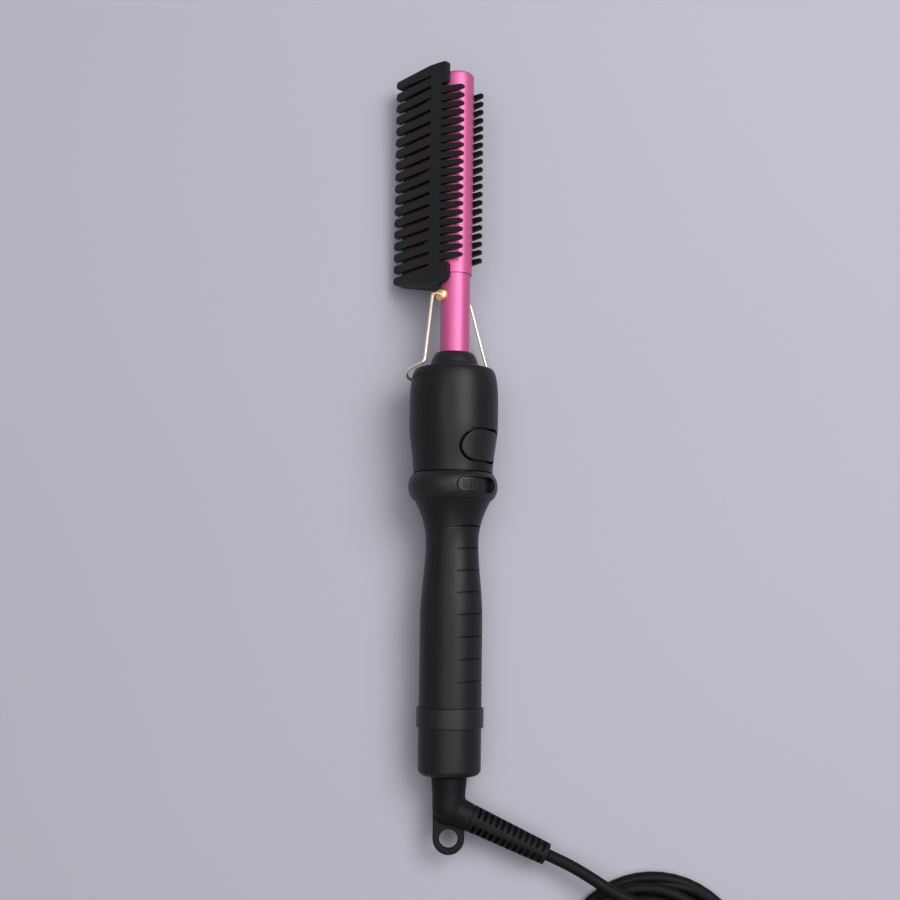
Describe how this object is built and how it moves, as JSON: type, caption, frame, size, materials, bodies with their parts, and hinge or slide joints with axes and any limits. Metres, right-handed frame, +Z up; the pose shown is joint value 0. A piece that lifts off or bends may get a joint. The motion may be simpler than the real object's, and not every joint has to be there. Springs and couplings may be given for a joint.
{
  "type": "hot comb",
  "caption": "Electric hot comb with a pink heated barrel, black comb guards, a wire stand, a black two-shell handle with a button and a heat selector, and a swivel cord with its plug.",
  "frame": {"origin": "centre of the tool's footprint without its cord, on the surface it lies on", "axes": "+Y from the cord end towards the barrel tip, +Z up from the surface, +X to the side where the power button faces and the cord leaves"},
  "size_m": [0.1494, 0.4117, 0.0389],
  "materials": {
    "soft_touch_black": "matt soft-touch",
    "gloss_black": "satin gloss",
    "guard_black": "satin heat-proof nylon",
    "pink_anodised": "satin pink anodised",
    "brass_wire": "bright drawn wire",
    "boot_black": "soft PVC",
    "cord_black": "satin PVC sheath",
    "steel": "zinc plated",
    "blade_steel": "nickel plated",
    "copper": "bare copper alloy",
    "natural_nylon": "glass-filled nylon",
    "grey_nylon": "moulded",
    "switch_black": "moulded",
    "switch_ivory": "moulded",
    "board_green": "solder resist",
    "relay_blue": "moulded case",
    "ceramic": "fired ceramic",
    "sensor_bead": "epoxy bead",
    "wedge_aluminium": "extruded",
    "heater_lead": "glass braid",
    "mains_lead": "insulated wire"
  },
  "bodies": {
    "handle": {"heating_barrel": "pink_anodised", "barrel_tip_plug": "pink_anodised", "neck_tube": "pink_anodised", "front_comb_guard": "guard_black", "rear_comb_guard": "guard_black", "guard_rivets": "steel", "stand_bosses": "brass_wire", "lip_ring": "gloss_black", "upper_shell": "soft_touch_black", "lower_shell": "soft_touch_black", "collar_ring": "gloss_black", "clamp_ring": "gloss_black", "shell_screws": "steel", "neck_bush": "natural_nylon", "bush_screws": "steel", "tact_switch": "switch_black", "selector_switch": "switch_black", "circuit_board": "board_green", "board_relay": "relay_blue", "heater_element": "ceramic", "heater_wedge": "wedge_aluminium", "temperature_sensor": "sensor_bead", "thermal_fuse": "steel", "heater_leads": "heater_lead", "mains_leads": "mains_lead", "contact_springs": "copper"},
    "power_button": {"power_button": "gloss_black"},
    "tact_plunger": {"tact_plunger": "switch_ivory"},
    "heat_selector": {"selector_knob": "gloss_black"},
    "wire_stand": {"wire_stand": "brass_wire"},
    "cord_swivel": {"swivel_core": "grey_nylon", "slip_rings": "copper", "swivel_boot": "boot_black", "strain_relief": "boot_black", "power_cord": "cord_black", "cord_coil": "cord_black", "cord_tail": "cord_black", "plug_body": "cord_black", "plug_blades": "blade_steel"}
  },
  "joints": [
    {"name": "power_button_press", "type": "slide", "parent": "handle", "child": "power_button", "axis": [-0.7771, 0.0319, -0.6285], "range_m": [0, 0.0005], "stiffness_N_per_m": 1500},
    {"name": "tact_plunger_press", "type": "slide", "parent": "handle", "child": "tact_plunger", "axis": [-0.7771, 0.0319, -0.6285], "range_m": [0, 0.0005]},
    {"name": "heat_selector_slide", "type": "hinge", "parent": "handle", "child": "heat_selector", "pos_m": [-0.00703, -0.12984, 0.01253], "axis": [0, 0.9987, 0.0506], "range_deg": [0, 28]},
    {"name": "wire_stand_fold", "type": "hinge", "parent": "handle", "child": "wire_stand", "pos_m": [-0.00859, 0.06437, 0.02112], "axis": [0.6293, 0.0394, -0.7761], "range_deg": [0, 80]},
    {"name": "cord_swivel_turn", "type": "hinge", "parent": "handle", "child": "cord_swivel", "pos_m": [-0.00703, -0.12984, 0.01253], "axis": [0, -0.9987, -0.0506], "continuous": true}
  ],
  "couplings": [
    {"joint": "tact_plunger_press", "follows": "power_button_press", "ratio": 1}
  ]
}
